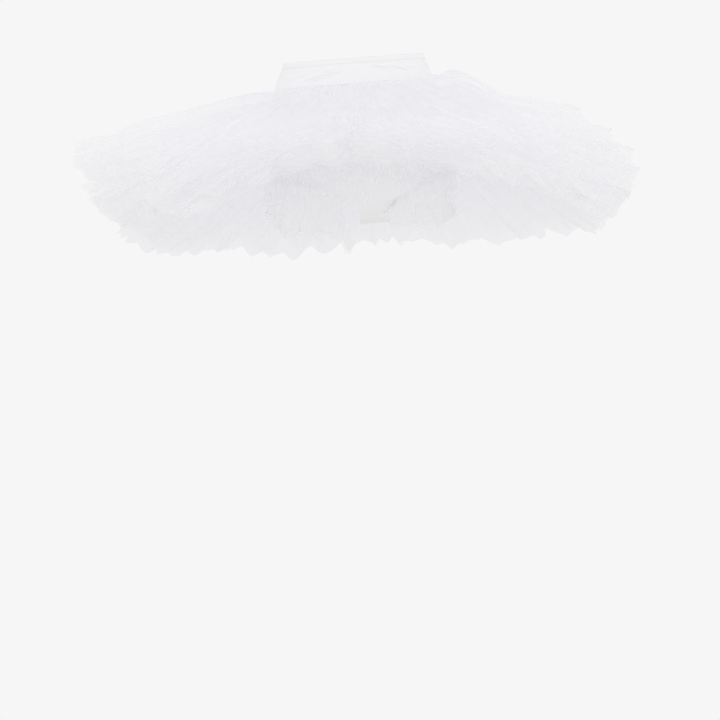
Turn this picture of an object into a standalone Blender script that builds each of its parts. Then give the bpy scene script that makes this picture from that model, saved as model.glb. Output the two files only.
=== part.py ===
"""A worn practice tutu, as its maker cuts it: a stretch yoke, a brief, six long gathered net tiers,
a short pleated seat ruffle and two sheer leg ruffles. Every piece is a cloth wall on one shared form.

Metres, +Z up. The origin is the middle of the waist opening. +X is the wearer's right side,
-Y the wearer's back and +Y the wearer's front. The skirt keeps its worn pose: hips tilted,
right side up, and the net held out like a shallow, uneven dish.
"""

import math

import bmesh
import bpy

# ---------------------------------------------------------------- sizes
WALL = 0.0015  # cloth wall
SEAM_GAP = 0.0003  # air between two pieces that are sewn together
HIP_TILT = 0.076  # rise per metre towards the wearer's right
YOKE_DEPTH = 0.046  # waist edge to the seam under the yoke
BRIEF_DEPTH = 0.272  # waist edge to the crotch
WAIST_DIP = 0.004  # the waist edge is this much lower at the middle of the back
FORM_POWER = 2.25  # roundness of the hip sections, 2 is an ellipse

# The form that the yoke and brief follow, by depth below the waist edge.
FORM = (
    # depth, half_width, back_depth, front_depth, sideways
    (0.000, 0.1150, 0.0840, 0.0800, 0.000),
    (0.046, 0.1325, 0.0985, 0.0880, 0.000),
    (0.090, 0.1440, 0.1130, 0.0930, 0.003),
    (0.130, 0.1460, 0.1210, 0.0940, 0.007),
    (0.170, 0.1450, 0.1210, 0.0920, 0.012),
    (0.210, 0.1400, 0.1140, 0.0880, 0.015),
    (0.238, 0.1320, 0.1000, 0.0800, 0.017),
    (0.256, 0.1150, 0.0780, 0.0680, 0.018),
    (0.267, 0.0900, 0.0520, 0.0480, 0.018),
    (0.272, 0.0450, 0.0260, 0.0240, 0.018),
)

# The rims of the long net tiers by azimuth: 0 is the wearer's right (+X), 90 the front,
# 180 the left, 270 the back. Radius from the waist's middle, height from the waist's middle.
RIM = (
    # azimuth, top_radius, top_height, mid_radius, low_radius, low_height
    (0, 0.380, -0.092, 0.474, 0.430, -0.272),
    (22, 0.402, -0.118, 0.474, 0.438, -0.284),
    (45, 0.430, -0.165, 0.460, 0.443, -0.302),
    (70, 0.440, -0.212, 0.455, 0.440, -0.315),
    (92, 0.445, -0.236, 0.455, 0.440, -0.328),
    (115, 0.447, -0.232, 0.458, 0.440, -0.342),
    (140, 0.452, -0.198, 0.460, 0.432, -0.332),
    (160, 0.457, -0.162, 0.462, 0.418, -0.300),
    (180, 0.460, -0.140, 0.458, 0.406, -0.272),
    (200, 0.460, -0.152, 0.455, 0.404, -0.262),
    (222, 0.458, -0.172, 0.455, 0.415, -0.262),
    (243, 0.454, -0.160, 0.450, 0.418, -0.244),
    (258, 0.450, -0.138, 0.445, 0.412, -0.192),
    (272, 0.448, -0.128, 0.440, 0.408, -0.182),
    (290, 0.448, -0.130, 0.445, 0.412, -0.190),
    (312, 0.442, -0.136, 0.450, 0.420, -0.214),
    (335, 0.412, -0.112, 0.466, 0.426, -0.258),
)

# The long tiers, top to bottom: depth of the gathering line below the waist edge,
# how far down the stack of rims the tier's own rim is, and the columns and rows of its cloth.
TIERS = (
    # name, seam_depth, stack, columns, rows, fold_height
    ("net_tier_1", 0.0500, 0.00, 64, 4, 0.0065),
    ("net_tier_2", 0.0640, 0.18, 64, 3, 0.0065),
    ("net_tier_3", 0.0780, 0.37, 64, 3, 0.0065),
    ("net_tier_4", 0.0920, 0.57, 64, 3, 0.0065),
    ("net_tier_5", 0.1060, 0.78, 64, 3, 0.0065),
    ("net_tier_6", 0.1200, 1.00, 64, 3, 0.0065),
)

# Where the hand and hip push the net up beside the yoke, by azimuth.
HUMP = (
    # azimuth, height
    (0, 0.0250),
    (25, 0.0180),
    (50, 0.0060),
    (90, 0.0020),
    (150, 0.0030),
    (180, 0.0040),
    (215, 0.0030),
    (250, 0.0060),
    (272, 0.0080),
    (300, 0.0080),
    (330, 0.0150),
)

# Uneven gathers: relative widths and heights of neighbouring folds, repeated round the ring.
FOLD_WIDTHS = (1.00, 0.72, 1.30, 0.86, 1.14, 0.66, 1.22, 0.94, 0.78, 1.36, 1.02, 0.84)
FOLD_HEIGHTS = (1.00, 0.55, 1.25, 0.80, 1.10, 0.50, 0.95, 1.30, 0.70, 1.15, 0.60)

# The short seat ruffle: height of its hem and how far it stands off the form, by azimuth.
SEAT_HEM = (
    # azimuth, hem_height, flare
    (0, -0.214, 0.012),
    (40, -0.220, 0.018),
    (90, -0.228, 0.022),
    (140, -0.232, 0.018),
    (180, -0.238, 0.012),
    (219, -0.240, 0.014),
    (238, -0.218, 0.018),
    (252, -0.223, 0.020),
    (261, -0.242, 0.020),
    (269, -0.256, 0.020),
    (274, -0.230, 0.020),
    (279, -0.200, 0.019),
    (282, -0.178, 0.018),
    (286, -0.207, 0.019),
    (302, -0.240, 0.020),
    (312, -0.227, 0.018),
    (322, -0.219, 0.015),
    (340, -0.218, 0.013),
)
SEAT_SEAM = 0.150
SEAT_COLUMNS, SEAT_ROWS, SEAT_FOLD = 60, 2, 0.0038

# Leg openings: the line climbs from the crotch strip over the seat to the hip.
CROTCH_X = 0.036  # the weight is on one leg, so the crotch is off the middle
LEG_LINE = (
    # beside the crotch, height before the tilt
    (0.024, -0.2640),
    (0.030, -0.2430),
    (0.055, -0.2320),
    (0.080, -0.2130),
    (0.118, -0.2035),
    (0.190, -0.1950),
)
# How far round from the hip each leg ruffle runs, front and back: right, left.
LEG_SWING = (71.0, 78.0)

# The sheer leg ruffles: hem height and flare, by how far round the leg from front to back.
LEG_HEM = (
    # share, left_hem, right_hem, flare
    (0.00, -0.286, -0.272, 0.010),
    (0.20, -0.292, -0.278, 0.016),
    (0.38, -0.276, -0.264, 0.011),
    (0.50, -0.250, -0.248, 0.008),
    (0.64, -0.266, -0.264, 0.010),
    (0.76, -0.296, -0.270, 0.014),
    (0.86, -0.282, -0.262, 0.015),
    (1.00, -0.293, -0.272, 0.012),
)
RUFFLE_COLUMNS, RUFFLE_ROWS, RUFFLE_FOLD = 26, 3, 0.0048

LOOKS = {
    # cloth: colour, roughness
    "knit": ((0.86, 0.86, 0.87), 0.62),
    "net": ((0.80, 0.80, 0.83), 0.85),
}


# ---------------------------------------------------------------- tables
def smooth(t):
    t = min(max(t, 0.0), 1.0)
    return t * t * (3.0 - 2.0 * t)


def around(table, azimuth, column):
    """A table's column at an azimuth, eased between its rows and closed round the ring."""
    azimuth %= 360.0
    rows = list(table) + [(table[0][0] + 360.0,) + tuple(table[0][1:])]
    for low, high in zip(rows, rows[1:]):
        if low[0] <= azimuth <= high[0]:
            t = (azimuth - low[0]) / (high[0] - low[0])
            return low[column] + (high[column] - low[column]) * (0.5 * t + 0.5 * smooth(t))
    return rows[0][column]


def along(table, where, column):
    """A table's column at a place between its rows, in straight steps."""
    where = min(max(where, table[0][0]), table[-1][0])
    for low, high in zip(table, table[1:]):
        if where <= high[0]:
            t = (where - low[0]) / (high[0] - low[0])
            return low[column] + (high[column] - low[column]) * t
    return table[-1][column]


def tilt(x, height):
    """The hips lean: the wearer's right side is higher."""
    return height + HIP_TILT * x


# ---------------------------------------------------------------- the form
def form_point(azimuth, depth, out=0.0):
    """A point on the hip form, `out` metres outside it, before the tilt."""
    c, s = math.cos(math.radians(azimuth)), math.sin(math.radians(azimuth))
    wide = along(FORM, depth, 1) + out
    deep = along(FORM, depth, 2 if s < 0 else 3) + out
    e = 2.0 / FORM_POWER
    x = along(FORM, depth, 4) + wide * math.copysign(abs(c) ** e, c)
    return x, deep * math.copysign(abs(s) ** e, s)


def on_form(azimuth, depth, out=0.0):
    x, y = form_point(azimuth, depth, out)
    return x, y, tilt(x, -depth)


# ---------------------------------------------------------------- cloth
def cloth_from_grid(name, columns, rows, place, ring):
    """An open sheet of columns x rows, each point placed by place(u, v), welded into a ring if asked."""
    mesh = bpy.data.meshes.new(name)
    bm = bmesh.new()
    bmesh.ops.create_grid(bm, x_segments=columns, y_segments=rows, size=0.5)
    for vert in bm.verts:
        u, v = vert.co.x + 0.5, vert.co.y + 0.5
        vert.co = place(u, v)
    if ring:
        bmesh.ops.remove_doubles(bm, verts=bm.verts, dist=1e-6)
    bmesh.ops.triangulate(bm, faces=bm.faces)
    bm.normal_update()
    bm.to_mesh(mesh)
    bm.free()
    return bpy.data.objects.new(name, mesh)


def thicken(obj, thickness=WALL, offset=0.0):
    """Cloth wall; offset 0 puts half of it each side of the sheet, -1 all of it inside."""
    wall = obj.modifiers.new("cloth wall", "SOLIDIFY")
    wall.thickness = thickness
    wall.offset = offset
    wall.use_even_offset = True
    return obj


def dress(obj, cloth):
    """The piece's own material."""
    colour, roughness = LOOKS[cloth]
    material = bpy.data.materials.new(obj.name + "_" + cloth)
    material.use_nodes = True
    shader = material.node_tree.nodes["Principled BSDF"]
    shader.inputs["Base Color"].default_value = (*colour, 1.0)
    shader.inputs["Roughness"].default_value = roughness
    shader.inputs["Metallic"].default_value = 0.0
    obj.data.materials.append(material)
    obj.data.shade_smooth()
    obj.data.set_sharp_from_angle(angle=math.radians(50))
    return obj


def fold_edges(folds, shift):
    """Where each fold starts, as shares of the ring."""
    widths = [FOLD_WIDTHS[(i + shift) % len(FOLD_WIDTHS)] for i in range(folds)]
    total, at, edges = sum(widths), 0.0, []
    for width in widths:
        edges.append(at / total)
        at += width
    return edges + [1.0]


def fold_column(u, columns, shift):
    """Columns bunch to the folds: every second column is a ridge, the others are troughs."""
    folds = columns // 2
    edges = fold_edges(folds, shift)
    step = u * columns
    fold = min(int(step / 2 + 1e-9), folds - 1)
    inside = step / 2 - fold
    return edges[fold] + (edges[fold + 1] - edges[fold]) * inside


# ---------------------------------------------------------------- yoke
def build_yoke(name, first, last):
    """Half the yoke, between the side seams at two azimuths."""
    def place(u, v):
        edge = math.degrees(0.5 * SEAM_GAP / along(FORM, 0.02, 1))
        azimuth = (first + edge) + (last - first - 2 * edge) * u
        x, y, z = on_form(azimuth, YOKE_DEPTH * (1.0 - v))
        dip = WAIST_DIP * max(-math.sin(math.radians(azimuth)), 0.0)
        return x, y, z - dip * v
    return thicken(cloth_from_grid(name, 22, 2, place, ring=False), offset=-1.0)


# ---------------------------------------------------------------- brief
def leg_line(x):
    """Height of the leg opening's edge at a sideways place, before the tilt."""
    return along(LEG_LINE, abs(x - CROTCH_X), 1)


def build_brief(collection, cutters):
    """The seat form as one thin bowl, its leg holes cut, then parted at the side and crotch seams."""
    depths = (0.0, 0.20, 0.42, 0.62, 0.78, 0.87, 0.935, 0.975, 1.0)
    # The yoke flares, so its inner edge hangs a little lower than its outer one.
    flare = (along(FORM, YOKE_DEPTH, 1) - along(FORM, 0.0, 1)) / YOKE_DEPTH
    start, end = YOKE_DEPTH + SEAM_GAP + flare * WALL, BRIEF_DEPTH
    columns = 32

    mesh = bpy.data.meshes.new("brief_form")
    bm = bmesh.new()
    bmesh.ops.create_cone(
        bm, cap_ends=False, segments=columns, radius1=1.0, radius2=1.0, depth=1.0
    )
    bmesh.ops.subdivide_edges(
        bm,
        edges=[e for e in bm.edges if abs(e.verts[0].co.z - e.verts[1].co.z) > 0.5],
        cuts=len(depths) - 2,
        use_grid_fill=True,
    )
    for vert in bm.verts:
        share = 0.5 - vert.co.z
        row = round(share * (len(depths) - 1))
        azimuth = math.degrees(math.atan2(vert.co.y, vert.co.x))
        depth = start + (end - start) * depths[row]
        vert.co = on_form(azimuth, depth)
    low = sorted(bm.verts, key=lambda v: v.co.z - HIP_TILT * v.co.x)[:columns]
    bmesh.ops.contextual_create(bm, geom=low)
    bmesh.ops.triangulate(bm, faces=bm.faces)
    bmesh.ops.recalc_face_normals(bm, faces=bm.faces)
    bm.to_mesh(mesh)
    bm.free()
    form = thicken(bpy.data.objects.new("brief_form", mesh), offset=-1.0)
    cutters.objects.link(form)

    holes = []
    for side, name in ((1, "leg_hole_right"), (-1, "leg_hole_left")):
        # A sheet whose top edge is the leg line, drawn out from front to back.
        places = [row[0] for row in LEG_LINE]
        mesh = bpy.data.meshes.new(name)
        bm = bmesh.new()
        bmesh.ops.create_grid(bm, x_segments=len(places) - 1, y_segments=1, size=0.5)
        for vert in bm.verts:
            column = round((vert.co.x + 0.5) * (len(places) - 1))
            x = CROTCH_X + side * places[column]
            top = vert.co.y > 0
            vert.co = (x, -0.25, tilt(x, leg_line(x)) if top else -0.40)
        grown = bmesh.ops.extrude_face_region(bm, geom=bm.faces[:])["geom"]
        for vert in grown:
            if isinstance(vert, bmesh.types.BMVert):
                vert.co.y = 0.25
        bmesh.ops.recalc_face_normals(bm, faces=bm.faces)
        bm.to_mesh(mesh)
        bm.free()
        hole = bpy.data.objects.new(name, mesh)
        cutters.objects.link(hole)
        holes.append(hole)

    for name, sign in (("brief_back", -1), ("brief_front", 1)):
        mesh = bpy.data.meshes.new(name + "_half")
        bm = bmesh.new()
        bmesh.ops.create_cube(bm, size=1.0)
        for vert in bm.verts:
            vert.co.x *= 0.6
            vert.co.z = vert.co.z * 0.6 - 0.15
            vert.co.y = sign * (0.5 * SEAM_GAP if sign * vert.co.y < 0 else 0.3)
        bmesh.ops.recalc_face_normals(bm, faces=bm.faces)
        bm.to_mesh(mesh)
        bm.free()
        half = bpy.data.objects.new(name + "_half", mesh)
        cutters.objects.link(half)

        panel = bpy.data.objects.new(name, form.data.copy())
        collection.objects.link(panel)
        thicken(panel, offset=-1.0)
        for what, operation in ((holes[0], "DIFFERENCE"), (holes[1], "DIFFERENCE"), (half, "INTERSECT")):
            cut = panel.modifiers.new(what.name, "BOOLEAN")
            cut.operation = operation
            cut.object = what
        dress(panel, "knit")


# ---------------------------------------------------------------- long tiers
def rim_of(azimuth, stack):
    """Radius and height of a tier's rim, by how far down the stack it is."""
    top_r, mid_r, low_r = (around(RIM, azimuth, c) for c in (1, 3, 4))
    top_z, low_z = around(RIM, azimuth, 2), around(RIM, azimuth, 5)
    radius = (
        top_r * (1 - stack) * (1 - 2 * stack)
        + mid_r * 4 * stack * (1 - stack)
        + low_r * stack * (2 * stack - 1)
    )
    return radius, top_z + (low_z - top_z) * stack


def build_tier(name, seam_depth, stack, columns, rows, fold_height, shift=0):
    """A full ring of gathered net, from its line on the brief out to its rim.

    Neighbouring tiers nest: their gathers lie over each other."""
    steps = {4: (0.0, 0.10, 0.40, 0.70, 1.0), 3: (0.0, 0.28, 0.64, 1.0)}[rows]

    def place(u, v):
        s = steps[round(v * rows)]
        share = fold_column(u, columns, shift)
        azimuth = 360.0 * share
        inner_x, inner_y = form_point(azimuth, seam_depth, WALL * 0.5 + 0.0006)
        inner_z = tilt(inner_x, -seam_depth)
        radius, height = rim_of(azimuth, stack)
        ridge = 1.0 if round(u * columns) % 2 == 0 else -1.0
        fold = round(u * columns) // 2 % (columns // 2)
        lift = FOLD_HEIGHTS[(fold + shift) % len(FOLD_HEIGHTS)]
        wave = ridge * lift * fold_height * s**0.8
        c, sn = math.cos(math.radians(azimuth)), math.sin(math.radians(azimuth))
        radius += 0.5 * wave * s
        x = inner_x + (radius * c - inner_x) * s
        y = inner_y + (radius * sn - inner_y) * s
        hump = around(HUMP, azimuth, 1) * (1.0 - 0.9 * stack)
        hump *= smooth(s / 0.10) * (1.0 - smooth((s - 0.30) / 0.28))
        droop = s - 0.17 * math.sin(math.pi * s) * (1.0 - s)
        z = inner_z + (height - inner_z) * droop + hump + wave
        return x, y, z

    return thicken(cloth_from_grid(name, columns, rows, place, ring=True))


# ---------------------------------------------------------------- ruffles
def build_seat_ruffle():
    """The short, densely pleated ring that hangs over the seat below the long tiers."""
    def place(u, v):
        share = fold_column(u, SEAT_COLUMNS, 3)
        azimuth = 360.0 * share
        s = v
        hem, flare = around(SEAT_HEM, azimuth, 1), around(SEAT_HEM, azimuth, 2)
        ridge = 1.0 if round(u * SEAT_COLUMNS) % 2 == 0 else -1.0
        out = WALL * 0.5 + 0.0006 + (flare + ridge * SEAT_FOLD) * s**0.8
        x0, y0 = form_point(azimuth, SEAT_SEAM, 0.0)
        top = tilt(x0, -SEAT_SEAM)
        height = top + (hem - top) * s
        depth = min(-(height - HIP_TILT * x0), 0.170)
        x, y = form_point(azimuth, depth, out)
        return x, y, height
    return thicken(cloth_from_grid("seat_ruffle", SEAT_COLUMNS, SEAT_ROWS, place, ring=True))


def leg_edge(side, share):
    """A point of the brief's leg line, from the front beside the crotch, round the hip, to the back.

    Halves a stretch down the form at an azimuth until it meets the line of the leg opening."""
    swing = LEG_SWING[0 if side > 0 else 1] * (1.0 - 2.0 * share)
    azimuth = swing if side > 0 else 180.0 - swing
    above, below = 0.15, 0.27
    for _ in range(30):
        depth = 0.5 * (above + below)
        x, _ = form_point(azimuth, depth)
        if -leg_line(x) > depth:
            above = depth
        else:
            below = depth
    return azimuth, depth


def build_leg_ruffle(name, side):
    """One sheer strip of net along a leg line, open between the legs."""
    def place(u, v):
        azimuth, depth = leg_edge(side, 0.02 + 0.96 * u)
        hem = along(LEG_HEM, u, 2 if side > 0 else 1)
        flare = along(LEG_HEM, u, 3)
        ridge = 1.0 if round(u * RUFFLE_COLUMNS) % 2 == 0 else -1.0
        seam = depth - 0.008
        out = WALL * 0.5 + 0.0006 + (flare + ridge * RUFFLE_FOLD) * v**1.6
        x, y = form_point(azimuth, min(seam, 0.236), out)
        top = tilt(x, -seam)
        return x, y, top + (hem - top) * v
    sheet = cloth_from_grid(name, RUFFLE_COLUMNS, RUFFLE_ROWS, place, ring=False)
    return thicken(sheet)


# ---------------------------------------------------------------- build
def main():
    for obj in list(bpy.data.objects):
        bpy.data.objects.remove(obj, do_unlink=True)
    tutu = bpy.data.collections.new("tutu_skirt")
    cutters = bpy.data.collections.new("cutters")
    bpy.context.scene.collection.children.link(tutu)
    bpy.context.scene.collection.children.link(cutters)

    for name, first, last in (("yoke_back", 180.0, 360.0), ("yoke_front", 0.0, 180.0)):
        tutu.objects.link(dress(build_yoke(name, first, last), "knit"))
    build_brief(tutu, cutters)
    for row in TIERS:
        tutu.objects.link(dress(build_tier(*row), "net"))
    tutu.objects.link(dress(build_seat_ruffle(), "net"))
    for name, side in (("leg_ruffle_right", 1), ("leg_ruffle_left", -1)):
        tutu.objects.link(dress(build_leg_ruffle(name, side), "net"))

    for helper in cutters.objects:
        helper.hide_render = True
        helper.display_type = "WIRE"


main()
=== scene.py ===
"""The looks of a worn practice tutu: a stretch yoke and brief, six long gathered net tiers,
a dense pleated seat ruffle and two sheer leg ruffles, on a plain pale stage.

Metres, +Z up, in the same frame as the construction. Azimuth 0 is the wearer's right (+X),
90 the front (+Y), 180 the left and 270 the back (-Y), which faces the camera.
"""

import math

import bmesh
import bpy
import numpy as np
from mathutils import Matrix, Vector


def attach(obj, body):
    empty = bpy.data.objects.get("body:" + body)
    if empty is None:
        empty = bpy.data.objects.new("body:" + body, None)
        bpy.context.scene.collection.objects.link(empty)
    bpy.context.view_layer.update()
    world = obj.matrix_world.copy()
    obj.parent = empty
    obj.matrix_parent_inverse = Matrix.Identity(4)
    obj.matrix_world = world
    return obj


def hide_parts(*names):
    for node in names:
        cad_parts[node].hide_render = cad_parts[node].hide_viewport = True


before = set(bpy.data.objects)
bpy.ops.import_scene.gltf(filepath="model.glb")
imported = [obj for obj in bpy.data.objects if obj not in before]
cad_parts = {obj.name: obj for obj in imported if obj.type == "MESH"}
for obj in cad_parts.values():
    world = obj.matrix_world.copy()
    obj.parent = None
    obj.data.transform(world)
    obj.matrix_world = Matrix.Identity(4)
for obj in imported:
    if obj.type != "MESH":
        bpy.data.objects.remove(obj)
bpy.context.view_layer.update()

# ---------------------------------------------------------------- sizes, the construction's own
WALL = 0.0015
HIP_TILT = 0.076
YOKE_DEPTH = 0.046
BRIEF_DEPTH = 0.272
WAIST_DIP = 0.004
FORM_POWER = 2.25
FORM = (
    # depth, half_width, back_depth, front_depth, sideways
    (0.000, 0.1150, 0.0840, 0.0800, 0.000),
    (0.046, 0.1325, 0.0985, 0.0880, 0.000),
    (0.090, 0.1440, 0.1130, 0.0930, 0.003),
    (0.130, 0.1460, 0.1210, 0.0940, 0.007),
    (0.170, 0.1450, 0.1210, 0.0920, 0.012),
    (0.210, 0.1400, 0.1140, 0.0880, 0.015),
    (0.238, 0.1320, 0.1000, 0.0800, 0.017),
    (0.256, 0.1150, 0.0780, 0.0680, 0.018),
    (0.267, 0.0900, 0.0520, 0.0480, 0.018),
    (0.272, 0.0450, 0.0260, 0.0240, 0.018),
)
RIM = (
    # azimuth, top_radius, top_height, mid_radius, low_radius, low_height
    (0, 0.380, -0.095, 0.470, 0.428, -0.268),
    (22, 0.402, -0.114, 0.472, 0.436, -0.282),
    (45, 0.430, -0.165, 0.460, 0.443, -0.302),
    (70, 0.440, -0.212, 0.455, 0.440, -0.315),
    (92, 0.445, -0.236, 0.455, 0.440, -0.328),
    (115, 0.447, -0.232, 0.458, 0.440, -0.342),
    (140, 0.452, -0.198, 0.460, 0.432, -0.332),
    (160, 0.457, -0.162, 0.454, 0.410, -0.300),
    (180, 0.460, -0.144, 0.450, 0.398, -0.268),
    (200, 0.460, -0.156, 0.450, 0.398, -0.260),
    (222, 0.458, -0.172, 0.455, 0.415, -0.262),
    (243, 0.454, -0.160, 0.450, 0.418, -0.244),
    (258, 0.450, -0.138, 0.445, 0.412, -0.192),
    (272, 0.448, -0.128, 0.440, 0.408, -0.182),
    (290, 0.448, -0.130, 0.445, 0.412, -0.190),
    (312, 0.442, -0.136, 0.450, 0.420, -0.214),
    (335, 0.412, -0.112, 0.462, 0.424, -0.254),
)
HUMP = (
    # azimuth, height
    (0, 0.0220),
    (25, 0.0160),
    (50, 0.0060),
    (90, 0.0020),
    (150, 0.0030),
    (180, 0.0040),
    (215, 0.0030),
    (250, 0.0060),
    (272, 0.0080),
    (300, 0.0080),
    (330, 0.0120),
)
SEAT_HEM = (
    # azimuth, hem_height, flare
    (0, -0.214, 0.012),
    (40, -0.220, 0.018),
    (90, -0.228, 0.022),
    (140, -0.232, 0.018),
    (180, -0.238, 0.012),
    (219, -0.240, 0.014),
    (238, -0.218, 0.018),
    (252, -0.223, 0.020),
    (261, -0.242, 0.020),
    (269, -0.256, 0.020),
    (274, -0.230, 0.020),
    (279, -0.200, 0.019),
    (282, -0.178, 0.018),
    (286, -0.207, 0.019),
    (302, -0.240, 0.020),
    (312, -0.227, 0.018),
    (322, -0.219, 0.015),
    (340, -0.218, 0.013),
)
SEAT_SEAM = 0.150
CROTCH_X = 0.036
LEG_LINE = (
    # beside the crotch, height before the tilt
    (0.024, -0.2640),
    (0.030, -0.2430),
    (0.055, -0.2320),
    (0.080, -0.2130),
    (0.118, -0.2035),
    (0.190, -0.1950),
)
LEG_SWING = (73.0, 80.5)
LEG_HEM = (
    # share, left_hem, right_hem, flare
    (0.00, -0.286, -0.272, 0.010),
    (0.20, -0.292, -0.278, 0.016),
    (0.38, -0.276, -0.264, 0.011),
    (0.50, -0.250, -0.248, 0.008),
    (0.64, -0.266, -0.264, 0.010),
    (0.76, -0.296, -0.270, 0.014),
    (0.86, -0.282, -0.262, 0.015),
    (0.93, -0.288, -0.273, 0.014),
    (1.00, -0.290, -0.258, 0.012),
)

# ---------------------------------------------------------------- sizes, the looks' own
# The long tiers: where each starts, how far down the stack of rims it ends, how many main
# folds stand at its rim, how high they are there, and how ragged its cut edge hangs.
TIERS = (
    # name, seam_depth, stack, folds, fold_height, ragged, seed
    ("net_tier_1", 0.0478, 0.00, 46, 0.0030, 0.0060, 11),
    ("net_tier_2", 0.0640, 0.18, 45, 0.0048, 0.0085, 23),
    ("net_tier_3", 0.0780, 0.37, 43, 0.0062, 0.0100, 37),
    ("net_tier_4", 0.0920, 0.57, 44, 0.0072, 0.0110, 41),
    ("net_tier_5", 0.1060, 0.78, 42, 0.0080, 0.0150, 59),
    ("net_tier_6", 0.1200, 1.00, 42, 0.0086, 0.0165, 67),
)
COLUMNS, ROWS = 1320, 42
PLY_GAP = 0.0012
SETTLE = 0.0020
# One tier's net before it is gathered: tapered panels, joined into a band that is longer at
# the rim than at the seam.
RIM_CUT, SEAM_CUT, TIER_CUT = 3.30, 1.50, 0.335

# Creases in the long net. Each runs straight between two places on a tier,
# given by azimuth and by how far out it is from seam to rim, and is a soft trough or ridge.
# Tier 0 stands for all of them: the plies crease together.
CREASES = (
    # tier, from_azimuth, from_out, to_azimuth, to_out, half_width, height
    (0, 336, 0.08, 328.5, 0.46, 0.0060, -0.0125),
    (0, 342, 0.10, 335, 0.44, 0.0110, 0.0040),
    (0, 264.5, 0.60, 266.0, 0.69, 0.0034, -0.0075),
    (1, 266.6, 0.60, 265.8, 0.68, 0.0026, 0.0045),
    (0, 272.6, 0.61, 271.6, 0.70, 0.0034, -0.0075),
    (0, 268.2, 0.72, 270.4, 0.79, 0.0032, -0.0060),
    (1, 271.2, 0.75, 270.0, 0.83, 0.0030, 0.0050),
    (0, 222, 0.62, 226, 0.94, 0.0060, -0.0060),
    (0, 227, 0.55, 231, 0.90, 0.0055, -0.0050),
    (0, 292, 0.55, 300, 0.90, 0.0070, -0.0050),
    (0, 150, 0.30, 160, 0.70, 0.0060, -0.0060),
    (0, 72, 0.25, 60, 0.60, 0.0060, -0.0080),
    (0, 112, 0.50, 118, 0.90, 0.0065, -0.0060),
    (0, 8, 0.35, 16, 0.75, 0.0060, -0.0070),
    (1, 232, 0.45, 240, 0.98, 0.0110, 0.0050),
    (1, 206, 0.30, 202, 0.95, 0.0120, -0.0055),
    (1, 298, 0.40, 305, 1.00, 0.0120, -0.0050),
    (1, 186, 0.55, 190, 1.00, 0.0090, 0.0060),
    (1, 20, 0.25, 12, 0.90, 0.0100, -0.0060),
    (1, 60, 0.35, 66, 0.95, 0.0120, 0.0055),
    (1, 104, 0.20, 98, 0.85, 0.0110, -0.0055),
    (1, 142, 0.45, 150, 1.00, 0.0120, 0.0060),
    (2, 215, 0.50, 222, 1.00, 0.0110, -0.0060),
    (2, 340, 0.50, 348, 1.00, 0.0110, 0.0060),
    (3, 175, 0.55, 170, 1.00, 0.0120, 0.0070),
    (3, 12, 0.50, 6, 1.00, 0.0120, -0.0070),
    (4, 196, 0.60, 204, 1.00, 0.0130, -0.0070),
    (4, 30, 0.55, 38, 1.00, 0.0120, 0.0070),
    (5, 160, 0.55, 154, 1.00, 0.0130, 0.0075),
    (5, 352, 0.55, 358, 1.00, 0.0130, 0.0075),
    (6, 120, 0.50, 126, 1.00, 0.0140, -0.0080),
    (6, 80, 0.40, 72, 1.00, 0.0140, 0.0070),
    (6, 236, 0.50, 230, 1.00, 0.0120, -0.0060),
)

# Tension wrinkles of the yoke, by sideways place and by depth below the waist edge.
WRINKLES = (
    # side (-1 back, 1 front), from_x, from_depth, to_x, to_depth, half_width, height
    (-1, -0.090, 0.0350, -0.012, 0.0200, 0.0022, 0.0011),
    (-1, -0.078, 0.0380, -0.026, 0.0275, 0.0019, 0.0009),
    (-1, -0.068, 0.0275, -0.018, 0.0160, 0.0018, 0.0007),
    (-1, -0.100, 0.0290, -0.064, 0.0235, 0.0018, 0.0005),
    (-1, 0.026, 0.0150, 0.072, 0.0265, 0.0021, 0.0010),
    (-1, 0.046, 0.0150, 0.094, 0.0300, 0.0020, 0.0010),
    (-1, 0.040, 0.0220, 0.066, 0.0300, 0.0018, 0.0006),
    (-1, 0.082, 0.0190, 0.104, 0.0270, 0.0018, 0.0005),
    (1, -0.086, 0.0310, -0.030, 0.0210, 0.0022, 0.0009),
    (1, -0.060, 0.0370, -0.012, 0.0290, 0.0019, 0.0007),
    (1, 0.020, 0.0180, 0.078, 0.0300, 0.0021, 0.0009),
    (1, 0.044, 0.0170, 0.094, 0.0250, 0.0019, 0.0007),
)

KNIT_COLOUR = (0.949, 0.947, 0.959)
NET_COLOUR = (0.987, 0.985, 0.997)
SHEER_COLOUR = (0.975, 0.973, 0.983)
BACKDROP = 0.9216


# ---------------------------------------------------------------- tables
def ease(t):
    t = np.clip(t, 0.0, 1.0)
    return t * t * (3.0 - 2.0 * t)


def around(table, azimuth, column):
    """A table's column at azimuths, eased between its rows and closed round the ring."""
    rows = np.array(list(table) + [(table[0][0] + 360.0,) + tuple(table[0][1:])], float)
    where = np.mod(np.asarray(azimuth, float), 360.0)
    i = np.clip(np.searchsorted(rows[:, 0], where, side="right") - 1, 0, len(rows) - 2)
    t = (where - rows[i, 0]) / (rows[i + 1, 0] - rows[i, 0])
    low, high = rows[i, column], rows[i + 1, column]
    return low + (high - low) * (0.5 * t + 0.5 * ease(t))


def along(table, where, column):
    rows = np.array(table, float)
    return np.interp(where, rows[:, 0], rows[:, column])


def tilt(x, height):
    return height + HIP_TILT * x


# ---------------------------------------------------------------- the form
def form_point(azimuth, depth, out):
    c, s = np.cos(np.radians(azimuth)), np.sin(np.radians(azimuth))
    wide = along(FORM, depth, 1) + out
    deep = np.where(s < 0, along(FORM, depth, 2), along(FORM, depth, 3)) + out
    e = 2.0 / FORM_POWER
    x = along(FORM, depth, 4) + wide * np.sign(c) * np.abs(c) ** e
    return x, deep * np.sign(s) * np.abs(s) ** e


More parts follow.
